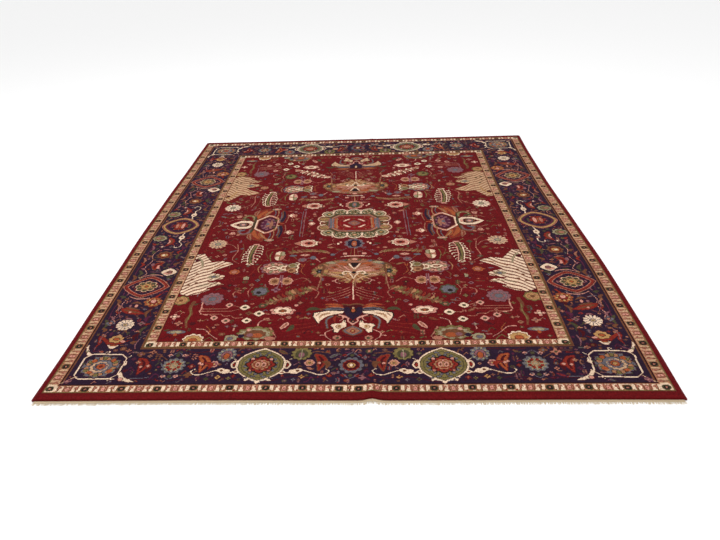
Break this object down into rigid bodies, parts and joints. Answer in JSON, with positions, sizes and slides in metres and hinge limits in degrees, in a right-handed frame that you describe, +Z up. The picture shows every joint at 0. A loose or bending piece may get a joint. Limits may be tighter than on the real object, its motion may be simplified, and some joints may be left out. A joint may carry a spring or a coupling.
{
  "type": "hand-knotted area rug",
  "caption": "Rectangular knotted wool area rug with a bordered floral field, bound sides and short cut fringe; folds once along its storage crease.",
  "frame": {"origin": "middle of the rug's underside, on the surface that it lies on", "axes": "+X across the rug to its right side, +Y along its length to the back end, +Z up out of the pile"},
  "size_m": [2.44, 3.096, 0.012],
  "materials": {
    "field_wool": "short cut wool pile, deep madder red ground, soft sheen",
    "border_wool": "short cut wool pile, dark indigo ground, soft sheen",
    "guard_wool": "short cut wool pile, undyed ivory and rose ground, soft sheen",
    "edge_wool": "short cut wool pile, plain madder red",
    "binding_wool": "wool overcasting, plain madder red",
    "ground_cotton": "cotton warps and wefts, matt",
    "end_weave_cotton": "plain cotton weave, matt",
    "fringe_cotton": "cut cotton warp ends, matt",
    "side_cord_cotton": "bundle of cotton warps"
  },
  "bodies": {
    "left_part": {"corner_block_back_left": "border_wool", "corner_block_front_left": "border_wool", "edge_band_back_left": "edge_wool", "edge_band_front_left": "edge_wool", "edge_band_left": "edge_wool", "end_weave_back_left": "end_weave_cotton", "end_weave_front_left": "end_weave_cotton", "field_left": "field_wool", "fringe_back_left": "fringe_cotton", "fringe_front_left": "fringe_cotton", "ground_weave_left": "ground_cotton", "inner_guard_back_left": "guard_wool", "inner_guard_front_left": "guard_wool", "inner_guard_left": "guard_wool", "main_border_back_left": "border_wool", "main_border_front_left": "border_wool", "main_border_left": "border_wool", "outer_guard_back_left": "guard_wool", "outer_guard_front_left": "guard_wool", "outer_guard_left": "guard_wool", "side_binding_left": "binding_wool", "side_cord_left": "side_cord_cotton"},
    "right_part": {"corner_block_back_right": "border_wool", "corner_block_front_right": "border_wool", "edge_band_back_right": "edge_wool", "edge_band_front_right": "edge_wool", "edge_band_right": "edge_wool", "end_weave_back_right": "end_weave_cotton", "end_weave_front_right": "end_weave_cotton", "field_right": "field_wool", "fringe_back_right": "fringe_cotton", "fringe_front_right": "fringe_cotton", "ground_weave_right": "ground_cotton", "inner_guard_back_right": "guard_wool", "inner_guard_front_right": "guard_wool", "inner_guard_right": "guard_wool", "main_border_back_right": "border_wool", "main_border_front_right": "border_wool", "main_border_right": "border_wool", "outer_guard_back_right": "guard_wool", "outer_guard_front_right": "guard_wool", "outer_guard_right": "guard_wool", "side_binding_right": "binding_wool", "side_cord_right": "side_cord_cotton"}
  },
  "joints": [
    {"name": "storage_fold", "type": "hinge", "parent": "left_part", "child": "right_part", "pos_m": [0.082, 0, 0.014], "axis": [0, -1, 0], "range_deg": [0, 180]}
  ]
}
